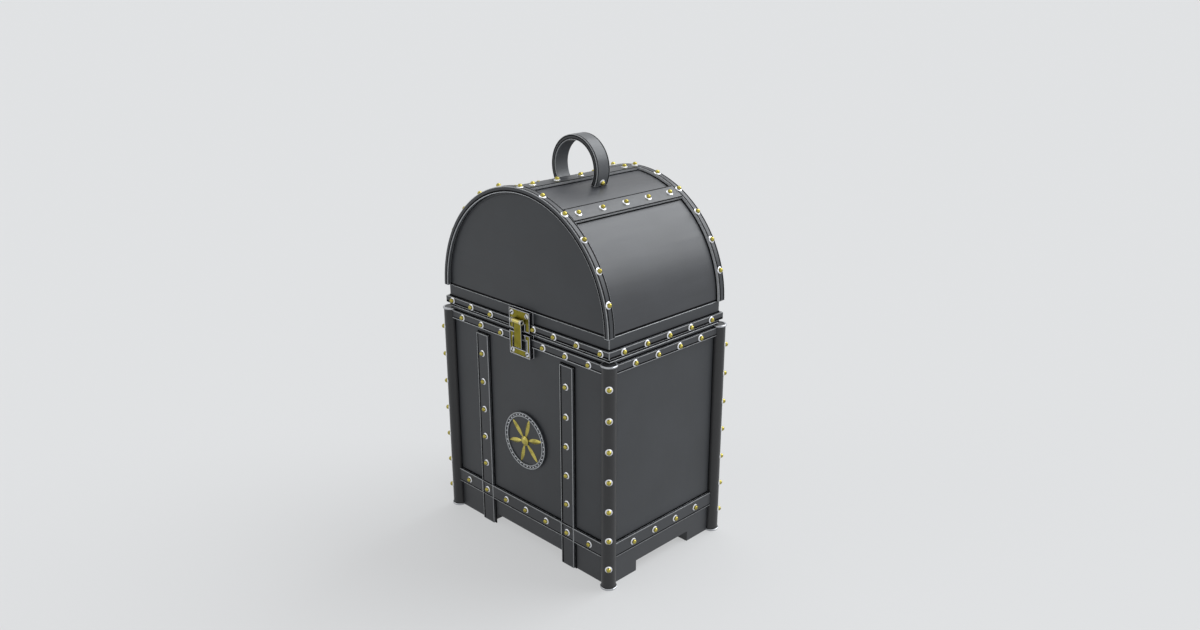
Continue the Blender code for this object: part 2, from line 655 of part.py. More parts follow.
def add_hinges():
    axis = (HINGE_AXIS_OUT, HINGE_AXIS_HEIGHT)
    leaf_back = BAND_FACE + SEAT
    tongue = (leaf_back + SEAT - axis[0], leaf_back + LEAF_THICKNESS - SEAT - axis[0])
    start = KNUCKLE_RADIUS + KNUCKLE_GAP
    third = HINGE_WIDTH / 3
    spans = {"body": [(-1.5 * third, -0.5 * third), (0.5 * third, 1.5 * third)], "lid": [(-0.5 * third, 0.5 * third)]}
    for hand_name, hand in HANDS.items():
        centre = -hand * HINGE_OFFSET
        for owner, way, parent in (("body", -1, TRUNK), ("lid", 1, LID)):
            heights = sorted((axis[1] + way * start, axis[1] + way * (start + LEAF_LENGTH)))
            outline = rectangle(leaf_back, leaf_back + LEAF_THICKNESS, *heights)
            mesh = prism(bmesh.new(), outline, centre - HINGE_WIDTH / 2, centre + HINGE_WIDTH / 2, on_section)
            leaf = side_piece(f"hinge_{hand_name}_{owner}_leaf", "back", mesh, IRON, parent)
            knuckles = bmesh.new()
            outline = knuckle_outline(axis, KNUCKLE_RADIUS, tongue, way * (start + LEAF_THICKNESS))
            trim = KNUCKLE_GAP / 2
            for low, high in spans[owner]:
                prism(knuckles, outline, centre + low + trim, centre + high - trim, on_section)
            combine(leaf, knuckles, "UNION")
            bore = circle(axis, HINGE_PIN_RADIUS + SEAT)
            mesh = prism(bmesh.new(), bore, centre - HINGE_WIDTH, centre + HINGE_WIDTH, on_section)
            combine(leaf, mesh, "DIFFERENCE")
        turn, _, middle = SIDES["back"]
        place = (middle[0] - centre, middle[1], middle[2])
        pin = piece(f"hinge_{hand_name}_pin", bmesh.new(), IRON, TRUNK, place, (0.0, 0.0, turn))
        make_pin(pin, axis, HINGE_PIN_RADIUS, HINGE_WIDTH / 2 + SEAT, PIN_HEAD_RADIUS, PIN_HEAD_LENGTH)


def add_medallion():
    place = (0.0, -HALF_DEPTH, MEDALLION_HEIGHT)
    disc_face = SEAT + MEDALLION_THICKNESS
    profile = [(0.0, SEAT), (MEDALLION_RADIUS, SEAT), (MEDALLION_RADIUS, disc_face), (0.0, disc_face)]
    disc = piece("medallion_disc", turned(bmesh.new(), profile, ROUND_SEGMENTS, on_front_face), IRON, TRUNK, place)
    smooth(disc)

    base = disc_face + SEAT
    face = base + RING_THICKNESS
    inside = MEDALLION_RADIUS - RING_WIDTH
    profile = [(inside, base), (MEDALLION_RADIUS, base), (MEDALLION_RADIUS, face), (inside, face)]
    ring = bmesh.new()
    loops = []
    for radius, out in profile:
        around = circle((0.0, 0.0), radius, ROUND_SEGMENTS)
        loops.append([ring.verts.new(on_front_face(a, b, out)) for a, b in around])
    for near, far in zip(loops, loops[1:] + loops[:1]):
        for i in range(ROUND_SEGMENTS):
            j = (i + 1) % ROUND_SEGMENTS
            ring.faces.new((near[i], near[j], far[j], far[i]))
    rosette = piece("medallion_rosette", ring, BRASS, TRUNK, place)
    combine(rosette, prism(bmesh.new(), circle((0.0, 0.0), HUB_RADIUS, 24), base, face, on_front_face), "UNION")
    petals = bmesh.new()
    tip, root = inside + RING_WIDTH / 2, HUB_RADIUS / 2
    half_length = (tip - root) / 2
    bulge = (half_length ** 2 - (PETAL_WIDTH / 2) ** 2) / PETAL_WIDTH
    radius = bulge + PETAL_WIDTH / 2
    spread = math.asin(half_length / radius)
    blade = arc((root + half_length, -bulge), radius, math.pi / 2 - spread, math.pi / 2 + spread, math.radians(16.0))
    blade += [(a, -b) for a, b in blade[-2:0:-1]]
    for i in range(PETAL_COUNT):
        turn = 2 * math.pi * (i + 0.25) / PETAL_COUNT
        c, s = math.cos(turn), math.sin(turn)
        outline = [(a * c - b * s, a * s + b * c) for a, b in blade]
        prism(petals, outline, base + SEAT, face - SEAT, on_front_face)
    combine(rosette, petals, "UNION")


def on_front_face(a, b, out):
    return (a, -out, b)


clear_scene()
WOOD = finish("charcoal_wood", (0.058, 0.060, 0.064), 0.55, 0.0)
IRON = finish("charcoal_iron", (0.050, 0.051, 0.055), 0.42, 0.3)
BRASS = finish("brass", (0.62, 0.52, 0.16), 0.30, 1.0)
TRUNK = empty("trunk", None, (0.0, CENTRE_SHIFT, 0.0))
LID = empty("lid_axis", TRUNK, (0.0, HALF_DEPTH + HINGE_AXIS_OUT, HINGE_AXIS_HEIGHT))
HASP = empty("hasp_axis", LID, from_parent(LID, (0.0, -HALF_DEPTH - HASP_AXIS_OUT, HASP_AXIS_HEIGHT)))
add_posts()
add_body_boards()
add_body_bands()
add_upright_straps()
add_medallion()
add_lid_walls()
add_vault()
add_handle()
add_latch()
add_hinges()
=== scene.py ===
"""A tall dome-lidded trunk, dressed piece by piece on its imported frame.

Lengths are metres in the frame's own axes: X along the front, Y from front to back, Z up.
"""
import math

import bmesh
import bpy
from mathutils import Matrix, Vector


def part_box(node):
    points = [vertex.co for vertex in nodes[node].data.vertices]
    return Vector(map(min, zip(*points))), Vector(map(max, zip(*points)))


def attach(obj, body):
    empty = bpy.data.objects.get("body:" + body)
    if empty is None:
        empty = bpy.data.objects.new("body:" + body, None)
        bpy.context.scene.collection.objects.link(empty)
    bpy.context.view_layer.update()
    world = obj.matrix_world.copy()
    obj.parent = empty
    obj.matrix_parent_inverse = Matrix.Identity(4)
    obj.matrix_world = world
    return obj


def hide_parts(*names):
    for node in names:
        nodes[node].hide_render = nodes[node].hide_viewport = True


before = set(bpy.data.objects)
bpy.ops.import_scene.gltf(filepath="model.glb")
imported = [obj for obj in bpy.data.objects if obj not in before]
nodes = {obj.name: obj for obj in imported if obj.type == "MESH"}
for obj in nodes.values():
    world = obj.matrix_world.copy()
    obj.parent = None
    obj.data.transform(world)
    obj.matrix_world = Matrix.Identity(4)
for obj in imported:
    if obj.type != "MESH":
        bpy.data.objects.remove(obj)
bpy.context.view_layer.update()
bpy.context.scene.view_settings.view_transform = "Standard"


# Boards of the body and the lid
# Flat softwood boards with chamfered edges, under a satin charcoal paint that lets a little of the grain
# through. Handling has rubbed the chamfers to a paler grey.
def add(tree, kind, sockets, **settings):
    """Add a shader node; each socket gets a plain value or the output that feeds it."""
    made = tree.nodes.new(kind)
    for key, value in settings.items():
        setattr(made, key, value)
    for key, value in sockets.items():
        if isinstance(value, bpy.types.NodeSocket):
            tree.links.new(value, made.inputs[key])
        else:
            made.inputs[key].default_value = value
    return made


number_socket = "NodeSocketFloat"
colour_socket = "NodeSocketColor"
vector_socket = "NodeSocketVector"


def shader_group(name, inputs, outputs):
    """Start a node group; gives back its tree, the sockets that come into it and those that go out."""
    tree = bpy.data.node_groups.new(name, "ShaderNodeTree")
    for label, kind in inputs.items():
        tree.interface.new_socket(label, in_out="INPUT", socket_type=kind)
    for label, kind in outputs.items():
        tree.interface.new_socket(label, in_out="OUTPUT", socket_type=kind)
    return tree, tree.nodes.new("NodeGroupInput").outputs, tree.nodes.new("NodeGroupOutput").inputs


def combined(tree, operation, one, other):
    return add(tree, "ShaderNodeMath", {0: one, 1: other}, operation=operation).outputs[0]


def mixed(tree, share, one, other):
    return add(tree, "ShaderNodeMix", {0: share, 6: one, 7: other}, data_type="RGBA").outputs[2]


def noise(tree, place, scale, detail, roughness=0.5):
    sockets = {"Vector": place, "Scale": scale, "Detail": detail, "Roughness": roughness}
    return add(tree, "ShaderNodeTexNoise", sockets).outputs[0]


def spread(tree, value, low, high, from_low=0.3, from_high=0.7):
    """Stretch part of a value's range, the middle of a noise unless told, over another range."""
    sockets = {"Value": value, "From Min": from_low, "From Max": from_high, "To Min": low, "To Max": high}
    return add(tree, "ShaderNodeMapRange", sockets).outputs["Result"]


def own_normal(tree):
    """The way that a face looks, in its piece's own axes."""
    facing = add(tree, "ShaderNodeNewGeometry", {}).outputs["True Normal"]
    to_own = {"vector_type": "NORMAL", "convert_from": "WORLD", "convert_to": "OBJECT"}
    return add(tree, "ShaderNodeVectorTransform", {"Vector": facing}, **to_own).outputs[0]


# A face of a squared piece looks along one of its own axes; a chamfer looks along none, and is rubbed
tree, given, result = shader_group("chamfer_mask", {}, {"Mask": number_socket})
facing = add(tree, "ShaderNodeVectorMath", {0: own_normal(tree)}, operation="ABSOLUTE").outputs[0]
axes = add(tree, "ShaderNodeSeparateXYZ", {0: facing}).outputs
squarest = combined(tree, "MAXIMUM", combined(tree, "MAXIMUM", axes["X"], axes["Y"]), axes["Z"])
tree.links.new(spread(tree, squarest, 1.0, 0.0, from_low=0.90, from_high=0.98), result["Mask"])
chamfer_mask = tree

# Charcoal paint: clouded colour, brush streaks along the grain, and paler bare patches where it is worn
tree, given, result = shader_group(
    "charcoal_paint",
    {"Paint": colour_socket, "Bare": colour_socket, "Wear": number_socket, "Grain": vector_socket,
     "Roughness": number_socket},
    {"Color": colour_socket, "Roughness": number_socket, "Height": number_socket})
place = add(tree, "ShaderNodeTexCoord", {}).outputs["Object"]
along = add(tree, "ShaderNodeVectorMath", {0: place, 1: given["Grain"]}, operation="MULTIPLY").outputs[0]
streak = noise(tree, along, 1.0, 6.0, roughness=0.62)
cloud = noise(tree, place, 11.0, 3.0)
speck = noise(tree, place, 420.0, 2.0)
tone = combined(tree, "MULTIPLY", spread(tree, cloud, 0.90, 1.10), spread(tree, streak, 0.90, 1.10))
colour = add(tree, "ShaderNodeVectorMath", {0: given["Paint"], "Scale": tone}, operation="SCALE").outputs[0]
worn = combined(tree, "MULTIPLY", given["Wear"], spread(tree, speck, 0.70, 1.0))
tree.links.new(mixed(tree, worn, colour, given["Bare"]), result["Color"])
uneven = combined(tree, "ADD", spread(tree, streak, -0.05, 0.05), given["Roughness"])
tree.links.new(uneven, result["Roughness"])
tree.links.new(streak, result["Height"])
charcoal_paint = tree


def new_material(name):
    material = bpy.data.materials.new(name)
    material.use_nodes = True
    return material, material.node_tree, material.node_tree.nodes["Principled BSDF"]


def dressed(tree, shader, skin, bump, depth):
    """Feed a shader from a finish group's colour, roughness and height."""
    tree.links.new(skin.outputs["Color"], shader.inputs["Base Color"])
    tree.links.new(skin.outputs["Roughness"], shader.inputs["Roughness"])
    bumps = {"Height": skin.outputs["Height"], "Strength": bump, "Distance": depth}
    relief = add(tree, "ShaderNodeBump", bumps).outputs["Normal"]
    tree.links.new(relief, shader.inputs["Normal"])


satin_coat = 0.12
satin_gloss = 0.5
matt_gloss = 0.08
coat_roughness = 0.32
brush_depth = 0.0004


def painted(name, paint, bare, grain, roughness, bump, wear, matt=False):
    """A charcoal finish; wear is 0 on a face, 1 on a rubbed edge, or the group of a mask."""
    material, tree, shader = new_material(name)
    if isinstance(wear, bpy.types.NodeTree):
        wear = add(tree, "ShaderNodeGroup", {}, node_tree=wear).outputs["Mask"]
    sockets = {"Paint": (*paint, 1.0), "Bare": (*bare, 1.0), "Wear": wear, "Grain": grain,
               "Roughness": roughness}
    coat = add(tree, "ShaderNodeGroup", sockets, node_tree=charcoal_paint)
    shader.inputs["Coat Weight"].default_value = 0.0 if matt else satin_coat
    shader.inputs["Coat Roughness"].default_value = coat_roughness
    shader.inputs["Specular IOR Level"].default_value = matt_gloss if matt else satin_gloss
    dressed(tree, shader, coat, bump, brush_depth)
    return material


board_colour = (0.027, 0.030, 0.0345)
# The plinths' paint is paler than the boards', as painted light against the shade low by the floor
plinth_colour = (0.036, 0.0385, 0.043)
board_edge = (0.68, 0.70, 0.72)
upright_grain, level_grain = (130.0, 130.0, 9.0), (9.0, 9.0, 130.0)


def painted_board(name, paint, grain):
    return painted(name, paint, board_edge, grain, roughness=0.48, bump=0.25, wear=chamfer_mask)


upright_boards = painted_board("charcoal_boards", board_colour, upright_grain)
level_boards = painted_board("charcoal_rails", board_colour, level_grain)
plinth_boards = painted_board("charcoal_plinths", plinth_colour, level_grain)
for side in ("front", "right", "back", "left"):
    nodes[f"panel_{side}"].material_slots[0].material = upright_boards
    nodes[f"plinth_{side}"].material_slots[0].material = plinth_boards
    nodes[f"lid_wall_{side}"].material_slots[0].material = level_boards
for node in ("gable_front", "gable_back", "floor_board"):
    nodes[node].material_slots[0].material = level_boards


# Corner posts
# Round iron posts, painted darker than the boards, that stand on the floor at the body's corners. A turned
# collar of bare steel goes round each end, and the boards are coved to fit the post.
def turned(mesh, profile, segments, spot, slots=None):
    """Add a turned solid; the profile gives radius and height, and slots the material of each strip."""
    rings = []
    for radius, height in profile:
        steps = [2 * math.pi * i / segments for i in range(segments)] if radius else [0.0]
        points = [(radius * math.cos(step), radius * math.sin(step), height) for step in steps]
        rings.append([mesh.verts.new(spot(*point)) for point in points])
    for k, (low, high) in enumerate(zip(rings, rings[1:])):
        for i in range(segments):
            j = i + 1
            ring = [low[i % len(low)], low[j % len(low)], high[j % len(high)], high[i % len(high)]]
            face = mesh.faces.new(list(dict.fromkeys(ring)))
            face.material_index = slots[k] if slots else 0


sharp_angle = math.radians(35.0)


def finished(name, mesh, materials, body, slot, *replaced):
    """Turn a mesh into a smooth-shaded piece that rides on its body."""
    bmesh.ops.recalc_face_normals(mesh, faces=mesh.faces[:])
    data = bpy.data.meshes.new(name)
    mesh.to_mesh(data)
    mesh.free()
    data.shade_smooth()
    data.set_sharp_from_angle(angle=sharp_angle)
    for material in materials:
        data.materials.append(material)
    made = bpy.data.objects.new(name, data)
    bpy.context.collection.objects.link(made)
    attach(made, body)
    if replaced:
        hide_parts(*replaced)
    return made


# Bare metal: bright, with duller patches and fine scuffs
tree, given, result = shader_group(
    "metal_patina",
    {"Metal": colour_socket, "Tarnish": colour_socket, "Roughness": number_socket},
    {"Color": colour_socket, "Roughness": number_socket, "Height": number_socket})
place = add(tree, "ShaderNodeTexCoord", {}).outputs["Object"]
bloom = spread(tree, noise(tree, place, 90.0, 4.0), 0.0, 1.0, from_low=0.48, from_high=0.75)
scuff = noise(tree, place, 900.0, 3.0)
tree.links.new(mixed(tree, bloom, given["Metal"], given["Tarnish"]), result["Color"])
uneven = combined(tree, "ADD", spread(tree, scuff, -0.05, 0.07), given["Roughness"])
tree.links.new(uneven, result["Roughness"])
tree.links.new(scuff, result["Height"])
metal_patina = tree
scuff_depth = 0.0001


def metal(name, bright, tarnish, roughness, bump):
    material, tree, shader = new_material(name)
    shader.inputs["Metallic"].default_value = 1.0
    sockets = {"Metal": (*bright, 1.0), "Tarnish": (*tarnish, 1.0), "Roughness": roughness}
    patina = add(tree, "ShaderNodeGroup", sockets, node_tree=metal_patina)
    dressed(tree, shader, patina, bump, scuff_depth)
    return material


iron_colour, post_colour = (0.026, 0.0285, 0.033), (0.016, 0.0165, 0.018)
rubbed_colour = (0.46, 0.48, 0.50)
iron_grain = (170.0, 170.0, 170.0)


def painted_iron(name, paint, wear, bare=rubbed_colour):
    return painted(name, paint, bare, iron_grain, roughness=0.42, bump=0.12, wear=wear)


post_paint = painted_iron("charcoal_posts", post_colour, wear=0.0)
collar_steel = metal("collar_steel", (0.50, 0.51, 0.53), (0.36, 0.37, 0.39), roughness=0.32, bump=0.1)
post_radius = 0.0123
collar_radius = 0.0140
collar_height = 0.0035
post_sides = 64
lip, crown_rim = 0.0008, 0.0032
collar = [(collar_radius - lip, 0.0), (collar_radius, lip), (collar_radius, collar_height - lip),
          (collar_radius - lip, collar_height), (post_radius, collar_height)]
dish = collar_radius - crown_rim
post_slots = [0] + [1] * 3 + [0] * 3 + [1] * 4 + [0] * 2
for depth in ("front", "back"):
    for hand in ("left", "right"):
        node = f"post_{depth}_{hand}"
        low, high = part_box(node)
        x, y, top = (low.x + high.x) / 2, (low.y + high.y) / 2, high.z
        upper_collar = [(radius, top - height) for radius, height in reversed(collar)]
        crown = [(dish, top), (dish - lip, top - lip), (0.0, top - lip)]
        mesh = bmesh.new()
        turned(mesh, [(0.0, 0.0)] + collar + upper_collar + crown, post_sides,
               lambda a, b, up: (x + a, y + b, up), post_slots)
        finished(node, mesh, (post_paint, collar_steel), "body", "iron", node)


# Bands and upright straps of the body
# Flat iron bars with rounded arrises, riveted over a bed of black pitch and lined in pale and black paint.
# The black rim of pitch round each bar also stands in as a painted shadow gap.
# A strap is let in flush where it crosses the lower band, and the band's lining is carried over it.
def rectangle(left, right, low, high):
    return [(left, low), (right, low), (right, high), (left, high)]


def pulled(mesh, outline, levels, spot):
    """Pull an outline through two or more levels; gives back the rows of faces between them.

    Spot turns an outline's two values and a level into X, Y, Z.
    """
    rings = [[mesh.verts.new(spot(a, b, level)) for a, b in outline] for level in levels]
    mesh.faces.new(rings[0])
    mesh.faces.new(rings[-1])
    return [[mesh.faces.new((near[i - 1], near[i], far[i], far[i - 1])) for i in range(len(outline))]
            for near, far in zip(rings, rings[1:])]


def scored(mesh, point, normal):
    """Cut a mesh's faces along a plane, and keep both sides."""
    everything = mesh.verts[:] + mesh.edges[:] + mesh.faces[:]
    bmesh.ops.bisect_plane(mesh, geom=everything, plane_co=point, plane_no=normal)


arris_angle = math.radians(40.0)


def softened(made, width, segments=3):
    """Round a piece's arrises, and give them its second material."""
    bevel = made.modifiers.new("rubbed_arrises", "BEVEL")
    bevel.width = width
    bevel.segments = segments
    bevel.limit_method = "ANGLE"
    bevel.angle_limit = arris_angle
    bevel.material = 1
    bevel.harden_normals = True
    return made


outward = {"front": (0.0, -1.0), "right": (1.0, 0.0), "back": (0.0, 1.0), "left": (-1.0, 0.0)}
half_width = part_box("panel_right")[1].x
front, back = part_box("panel_front")[0].y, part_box("panel_back")[1].y
middle, half_depth = (front + back) / 2, (back - front) / 2
half_length = {"front": half_width, "right": half_depth, "back": half_width, "left": half_depth}


def beside(side, along, up, out):
    """A point this far along a side from its middle, and this far out from its board."""
    x, y = outward[side]
    return (x * (half_width + out) + abs(y) * along, middle + y * (half_depth + out) + abs(x) * along, up)


# Painted light: an arris is paler where it looks down or to the left, away from the lamps,
# and darker where it looks up and to the right, towards them
lamp_side = (0.5, 0.0, 0.4)
tree, given, result = shader_group("arris_painted_light_mask", {}, {"Mask": number_socket})
facing_lamps = add(tree, "ShaderNodeVectorMath", {0: own_normal(tree), 1: lamp_side}, operation="DOT_PRODUCT")
painted_light_share = spread(tree, facing_lamps.outputs["Value"], 1.0, 0.2, from_low=-0.30, from_high=0.63)
tree.links.new(painted_light_share, result["Mask"])
arris_painted_light_mask = tree


def matt_black(name, paint, grain, roughness, bump, wear=0.0):
    return painted(name, paint, rubbed_colour, (grain, grain, grain), roughness, bump, wear, matt=True)


iron_paint = painted_iron("charcoal_iron", iron_colour, wear=0.0)
# Arrises worn pale, and painted paler still on the side that the lamps leave in shade
iron_arris_worn_and_lit = painted_iron("charcoal_iron_rubbed_and_lit", iron_colour, wear=arris_painted_light_mask, bare=(0.78, 0.80, 0.82))
pitch_black = matt_black("black_pitch_and_shadow", (0.003, 0.003, 0.0035), grain=200.0, roughness=0.7, bump=0.3)
bar_finishes = (iron_paint, iron_arris_worn_and_lit, pitch_black)
paint_slot = 0
pale_slot = 1
black_slot = 2
bar_seat = 0.0003
bar_face = 0.0053
bar_round = 0.0011
band_gap = 0.0065
strap_line, strap_half = 0.1067, 0.015
pale_line = 0.0016
band_lining = 0.0040
strap_lining = 0.0052
crossing_pale, crossing_black = 0.0008, 0.0030
pitch_line = 0.0021
pitch_face = 0.0009
pitch_fillet = 0.0006
fillet_reach = 0.0010
outer_strip = 3
# Black pitch round the body's bars and beside its posts, partly a painted shadow in those gaps
body_pitch_shadow = bmesh.new()


def on_board(side):
    """The spot for an outline of along and up, pulled out from a side's board."""
    return lambda along, up, out: beside(side, along, up, out)


def pitch_shadowed(side, start, stop, low, high):
    """The pitch that squeezes out round a bar, down to the floor at most; its black rim is also a painted
    shadow gap.
    """
    foot = max(low - pitch_line, 0.0)
    outline = rectangle(start - pitch_line, stop + pitch_line, foot, high + pitch_line)
    pulled(body_pitch_shadow, outline, (-bar_seat, pitch_face), on_board(side))


def lined(rows):
    """Line the first two rows of a bar's face, one pale and one black."""
    rows[0][outer_strip].material_index = pale_slot
    rows[1][outer_strip].material_index = black_slot


for side in outward:
    end = half_length[side] - band_gap
    runs = {"top_band": [(-end, end)], "lower_band": [(-end, end)]}
    if side in ("front", "back"):
        near, far = strap_line - strap_half, strap_line + strap_half
        runs["lower_band"] = [(-end, -far), (-near, near), (far, end)]
    for band, lengths in runs.items():
        node = f"{band}_{side}"
        low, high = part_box(node)
        levels = (low.z, low.z + pale_line, low.z + band_lining, high.z)
        mesh = bmesh.new()
        for start, stop in lengths:
            section = rectangle(start, stop, bar_seat, bar_face)
            lined(pulled(mesh, section, levels, lambda along, out, up: beside(side, along, up, out)))
            pitch_shadowed(side, start, stop, low.z, high.z)
        softened(finished(node, mesh, bar_finishes, "body", "iron", node), bar_round)
for side in ("front", "back"):
    band_low, band_high = (corner.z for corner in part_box(f"lower_band_{side}"))
    carried_across = (
        (band_low + pale_line - crossing_pale, band_low + pale_line, pale_slot),
        (band_low + pale_line, band_low + band_lining, black_slot),
        (band_high - crossing_pale, band_high, pale_slot),
        (band_high, band_high + crossing_black, black_slot),
    )
    for hand, along in (("left", -strap_line), ("right", strap_line)):
        node = f"strap_{side}_{hand}"
        low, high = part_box(node)
        start, stop = along - strap_half, along + strap_half
        section = rectangle(low.z, high.z, bar_seat, bar_face)
        levels = (start, start + pale_line, start + strap_lining, stop)
        mesh = bmesh.new()
        lined(pulled(mesh, section, levels, lambda up, out, along: beside(side, along, up, out)))
        for level in sorted({z for line in carried_across for z in line[:2]}):
            scored(mesh, (0.0, 0.0, level), (0.0, 0.0, 1.0))
        for face in mesh.faces:
            point = face.calc_center_median()
            for foot, head, slot in carried_across:
                if abs(point.y - middle) > half_depth + bar_face - bar_seat and foot < point.z < head:
                    face.material_index = slot
        pitch_shadowed(side, start, stop, low.z, high.z)
        softened(finished(node, mesh, bar_finishes, "body", "iron", node), bar_round)
for side in outward:
    low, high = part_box(f"lower_band_{side}")[1].z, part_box(f"top_band_{side}")[0].z
    for hand in (-1, 1):
        edge = hand * (half_length[side] - post_radius)
        outline = rectangle(edge - hand * pitch_fillet, edge + hand * fillet_reach, low, high)
        pulled(body_pitch_shadow, outline, (-bar_seat, pitch_face), on_board(side))
finished("pitch_shadow_body", body_pitch_shadow, (pitch_black,), "body", "iron")


# Bands of the lid
# Four flat iron bars round the lid's walls, mitred at the corners and lined in black along the lower edge.
# They are riveted on over the same pitch, which is left thick below them, black as painted shadow there
# too.
lid_lining, lid_pitch = 0.0046, 0.0045
# Black pitch round the lid's bands, hoops and straps, partly a painted shadow in those gaps
lid_pitch_shadow = bmesh.new()
for side in outward:
    node = f"lid_band_{side}"
    low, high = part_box(node)
    reach = half_length[side]
    section = [(-reach - bar_seat, bar_seat), (reach + bar_seat, bar_seat), (reach + bar_face, bar_face),
               (-reach - bar_face, bar_face)]
    levels = (low.z, low.z + lid_lining, high.z)
    mesh = bmesh.new()
    rows = pulled(mesh, section, levels, lambda along, out, up: beside(side, along, up, out))
    rows[0][outer_strip].material_index = black_slot
    softened(finished(node, mesh, bar_finishes, "lid", "iron", node), bar_round)
    outline = rectangle(-reach, reach, low.z - lid_pitch, high.z + pitch_line)
    pulled(lid_pitch_shadow, outline, (-bar_seat, pitch_face), on_board(side))


# Rivets of the body and the lid bands
# Round brass heads on broad, dished tin washers, 53 mm apart, driven through posts, bands and straps.
# The lid's front band has one close beside the latch, on its right only.
def domed(radius, height, foot, angles):
    """Points up the section of a dome, at angles in degrees above its foot."""
    bends = [math.radians(degrees) for degrees in angles]
    return [(radius * math.cos(bend), foot + height * math.sin(bend)) for bend in bends]


rivet_brass = metal("rivet_brass", (0.42, 0.36, 0.08), (0.26, 0.21, 0.04), roughness=0.22, bump=0.08)
rivet_tin = metal("rivet_tin", (0.82, 0.83, 0.86), (0.58, 0.59, 0.63), roughness=0.34, bump=0.08)
washer_radius = 0.0060
washer_edge = 0.0001
washer_sunk = 0.0024
head_radius = 0.0042
head_centre = 0.0014
rivet_sides = 24
straight_up = 0.999
washer = [(0.0, -washer_sunk), (washer_radius, -washer_sunk), (washer_radius, washer_edge)]
head = domed(head_radius, head_radius, head_centre, range(-5, 90, 15))
rivet_profile = washer + head + [(0.0, head_centre + head_radius)]
rivet_slots = [1] * len(washer) + [0] * len(head)


def rivet_heads(name, spots, body):
    """All the heads of a row as one piece; a spot is a point on the carrier and the way its head looks."""
    mesh = bmesh.new()
    for point, looks in spots:
        point, out = Vector(point), Vector(looks)
        looks_up = abs(out.z) > straight_up
        side = Vector((1.0, 0.0, 0.0)) if looks_up else Vector((-out.y, out.x, 0.0)).normalized()
        rise = out.cross(side)
        turned(mesh, rivet_profile, rivet_sides,
               lambda a, b, c: point + side * a + rise * b + out * c, rivet_slots)
    return finished(name, mesh, (rivet_brass, rivet_tin), body, "brass")


rivet_step, diagonal = 0.0533, math.sqrt(0.5)
post_start, post_count = 0.040, 7
for depth, y, toward in (("front", front, -1), ("back", back, 1)):
    for hand, across in (("left", -1), ("right", 1)):
        out = (across * diagonal, toward * diagonal, 0.0)
        x_skin, y_skin = across * half_width + post_radius * out[0], y + post_radius * out[1]
        spots = [((x_skin, y_skin, post_start + rivet_step * i), out) for i in range(post_count)]
        rivet_heads(f"post_rivets_{depth}_{hand}", spots, "body")


def on_bar(side, along, up):
    return beside(side, along, up, bar_face), (*outward[side], 0.0)


top_row = 0.3865
lower_row = 0.0655
lid_row = 0.41235
between_straps, side_row = (-3, -1, 0, 1, 3), (-1.5, -0.5, 0.5, 1.5)
rows = {
    "front": ((-3, -2, -1, 1, 2, 3), between_straps),
    "back": (between_straps, between_straps),
    "right": (side_row, side_row),
    "left": (side_row, side_row),
}
for side, (top, lower) in rows.items():
    for band, up, steps in (("top_band", top_row, top), ("lower_band", lower_row, lower)):
        rivet_heads(f"{band}_rivets_{side}", [on_bar(side, rivet_step * k, up) for k in steps], "body")
strap_start, strap_count = 0.120, 5
strap_heights = [lower_row] + [strap_start + rivet_step * i for i in range(strap_count)]
for side in ("front", "back"):
    for hand, along in (("left", -strap_line), ("right", strap_line)):
        spots = [on_bar(side, along, up) for up in strap_heights]
        rivet_heads(f"strap_rivets_{side}_{hand}", spots, "body")
beside_latch = 0.0303
lid_ends = [rivet_step * k for k in (-3.5, -2.5, -1.5, -0.5, 0.5, 1.5, 2.5, 3.5)]
lid_sides = [rivet_step * k for k in (-2, -1, 0, 1, 2)]
lid_rows = {
    "front": lid_ends[:3] + [beside_latch] + lid_ends[5:],
    "back": lid_ends,
    "right": lid_sides,
    "left": lid_sides,
}
for side, places in lid_rows.items():
    rivet_heads(f"lid_band_rivets_{side}", [on_bar(side, along, lid_row) for along in places], "lid")


# Medallion on the front panel
# An iron disc, pinned to the panel, with a ring of tinned beads between its two rubbed ridges. In its
# middle is a cast brass rosette: six ridged leaves round a domed boss.
medallion_height = 0.200
ground = 0.0030
sunk = 0.0025


def on_front(a, b, out):
    return (a, front - out, medallion_height + b)


ridge_edge = painted_iron("charcoal_ridges", iron_colour, wear=1.0)
disc_radius = 0.0519
inner_ridge = 0.0463
disc_sides = 96
ridge_width = 0.0022
ridge_slope = 0.0006
ridge_low = 0.0045
ridge_high = 0.0052
groove, draft = 0.0034, 0.0001


def ridge(radius):
    return [(radius, ridge_low), (radius - ridge_slope, ridge_high),
            (radius - ridge_width + ridge_slope, ridge_high), (radius - ridge_width, ridge_low)]


disc = [(0.0, bar_seat), (disc_radius, bar_seat)] + ridge(disc_radius)
disc += [(disc_radius - ridge_width - draft, groove), (inner_ridge + draft, groove)] + ridge(inner_ridge)
disc += [(inner_ridge - ridge_width - draft, ground), (0.0, ground)]
disc_slots = [0] * 2 + [1] * 3 + [0] * 3 + [1] * 3 + [0] * 2
mesh = bmesh.new()
turned(mesh, disc, disc_sides, on_front, disc_slots)
finished("medallion_disc", mesh, (iron_paint, ridge_edge), "body", "iron", "medallion_disc")
bead_count = 36
bead_ring = 0.0480
bead_radius = 0.0014
bead_height = 0.0018
bead_sides = 12
bead = [(0.0, ground)] + domed(bead_radius, bead_height, ground, (0, 25, 50, 70))
bead += [(0.0, ground + bead_height)]
mesh = bmesh.new()
for i in range(bead_count):
    turn = 2 * math.pi * (i + 0.5) / bead_count
    x, z = bead_ring * math.cos(turn), bead_ring * math.sin(turn)
    turned(mesh, bead, bead_sides, lambda a, b, out: on_front(a + x, b + z, out))
finished("medallion_beads", mesh, (rivet_tin,), "body", "iron")
